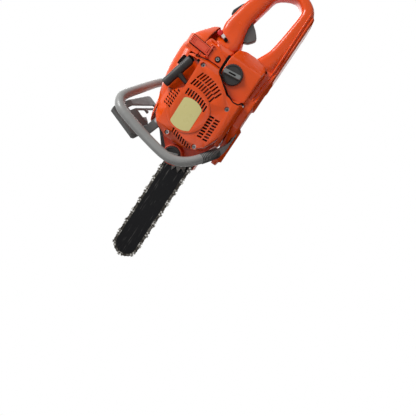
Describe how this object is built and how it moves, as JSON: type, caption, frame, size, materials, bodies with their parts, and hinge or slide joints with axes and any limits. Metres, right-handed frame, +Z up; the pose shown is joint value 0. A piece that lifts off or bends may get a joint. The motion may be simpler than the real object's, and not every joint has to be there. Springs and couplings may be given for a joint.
{
  "type": "chainsaw",
  "caption": "Petrol chainsaw with guide bar, saw chain, pull starter, chain-brake hand guard, wrap-round front handle, rear throttle handle and clutch cover.",
  "frame": {"origin": "on the ground below the crankshaft, in the rear handle's middle plane", "axes": "+X along the guide bar, +Y to the starter side, +Z up"},
  "size_m": [0.7351, 0.2227, 0.2509],
  "materials": {
    "orange_plastic": "glossy moulded orange polyamide",
    "dark_plastic": "satin dark grey moulded plastic",
    "charcoal_plastic": "charcoal moulded plastic",
    "red_plastic": "red moulded knob",
    "cream_plate": "blank cream foil plate",
    "cast_aluminium": "die-cast, uncoated",
    "case_paint": "orange painted die casting",
    "machined_steel": "machined steel, oiled",
    "bar_steel": "dark painted bar with bare rails",
    "chain_steel": "oily blued chain steel",
    "chrome_cutter": "hard chromed cutters",
    "exhaust_black": "heat-proof black sheet",
    "black_rubber": "black rubber",
    "grey_tube": "matte grey coated tube",
    "filter_felt": "pleated felt",
    "rope_fibre": "braided polyester cord",
    "white_ceramic": "glazed insulator",
    "screw_steel": "zinc-plated screws"
  },
  "bodies": {
    "saw": {"crankcase_left": "case_paint", "crankcase_right": "case_paint", "engine_cylinder": "cast_aluminium", "piston": "cast_aluminium", "connecting_rod": "machined_steel", "crank_bearings": "machined_steel", "ignition_coil": "charcoal_plastic", "spark_plug": "white_ceramic", "plug_cap": "black_rubber", "starter_cover": "orange_plastic", "side_plate": "cream_plate", "recoil_spring": "machined_steel", "rope_lead": "rope_fibre", "starter_rope": "rope_fibre", "rope_bushing": "charcoal_plastic", "cover_screws": "screw_steel", "clutch_drum": "machined_steel", "brake_band": "machined_steel", "clutch_cover": "orange_plastic", "bar_studs": "screw_steel", "bar_nuts": "screw_steel", "spiked_bumper": "machined_steel", "guide_bar": "bar_steel", "nose_sprocket": "machined_steel", "drive_links": "chain_steel", "tie_straps": "chain_steel", "left_cutters": "chrome_cutter", "right_cutters": "chrome_cutter", "chain_catcher": "cast_aluminium", "chain_tensioner": "screw_steel", "oil_pump": "cast_aluminium", "muffler": "exhaust_black", "carburettor": "cast_aluminium", "intake_boot": "black_rubber", "intake_housing": "orange_plastic", "air_filter": "filter_felt", "top_cover": "orange_plastic", "tank_unit": "orange_plastic", "front_handle": "grey_tube", "handle_screws": "screw_steel", "guard_screws": "screw_steel", "av_buffers": "black_rubber", "control_pins": "screw_steel"},
    "rotor": {"crankshaft": "machined_steel", "flywheel": "cast_aluminium", "clutch_hub": "machined_steel"},
    "pulley": {"rope_pulley": "charcoal_plastic"},
    "pull_grip": {"starter_handle": "charcoal_plastic"},
    "brake_lever": {"hand_guard": "dark_plastic"},
    "trigger": {"throttle_trigger": "charcoal_plastic"},
    "lockout": {"throttle_lockout": "charcoal_plastic"},
    "link_rod": {"throttle_rod": "screw_steel"},
    "choke": {"choke_control": "red_plastic"},
    "fuel_cap_body": {"fuel_cap": "dark_plastic"},
    "oil_cap_body": {"oil_cap": "dark_plastic"},
    "left_latch": {"latch_left": "orange_plastic"},
    "right_latch": {"latch_right": "orange_plastic"}
  },
  "joints": [
    {"name": "crank_turn", "type": "hinge", "parent": "saw", "child": "rotor", "pos_m": [0, 0, 0.098], "axis": [0, 1, 0], "continuous": true},
    {"name": "pulley_turn", "type": "hinge", "parent": "saw", "child": "pulley", "pos_m": [0, 0.071, 0.098], "axis": [0, 1, 0], "continuous": true},
    {"name": "rope_pull", "type": "slide", "parent": "saw", "child": "pull_grip", "axis": [0, 0, 1], "range_m": [0, 0.8], "stiffness_N_per_m": 6, "springref_m": -0.5, "deforming": ["starter_rope"]},
    {"name": "brake_swing", "type": "hinge", "parent": "saw", "child": "brake_lever", "pos_m": [0.052, 0, 0.156], "axis": [0, 1, 0], "range_deg": [0, 22]},
    {"name": "trigger_squeeze", "type": "hinge", "parent": "saw", "child": "trigger", "pos_m": [-0.196, 0, 0.128], "axis": [0, 1, 0], "range_deg": [0, 18], "stiffness_Nm_per_rad": 0.6, "springref_deg": -11.46},
    {"name": "rod_travel", "type": "slide", "parent": "saw", "child": "link_rod", "axis": [-1, 0, 0], "range_m": [0, 0.002]},
    {"name": "lockout_press", "type": "hinge", "parent": "saw", "child": "lockout", "pos_m": [-0.262, 0, 0.131], "axis": [0, 1, 0], "range_deg": [0, 12], "stiffness_Nm_per_rad": 0.4, "springref_deg": -11.46},
    {"name": "choke_turn", "type": "hinge", "parent": "saw", "child": "choke", "pos_m": [-0.172, 0.03, 0.148], "axis": [0, 1, 0], "range_deg": [0, 60]},
    {"name": "fuel_cap_turn", "type": "hinge", "parent": "saw", "child": "fuel_cap_body", "pos_m": [-0.109, 0.066, 0.072], "axis": [0, 1, 0], "range_deg": [0, 90]},
    {"name": "oil_cap_turn", "type": "hinge", "parent": "saw", "child": "oil_cap_body", "pos_m": [0.095, 0.06, 0.09], "axis": [0, 1, 0], "range_deg": [0, 90]},
    {"name": "left_latch_open", "type": "hinge", "parent": "saw", "child": "left_latch", "pos_m": [-0.1245, 0.0602, 0.139], "axis": [-1, 0, 0], "range_deg": [0, 70]},
    {"name": "right_latch_open", "type": "hinge", "parent": "saw", "child": "right_latch", "pos_m": [-0.1245, -0.0602, 0.139], "axis": [1, 0, 0], "range_deg": [0, 70]}
  ],
  "couplings": [
    {"joint": "pulley_turn", "follows": "rope_pull", "rad_per_m": 43.478},
    {"joint": "rod_travel", "follows": "trigger_squeeze", "m_per_rad": 0.0063}
  ]
}
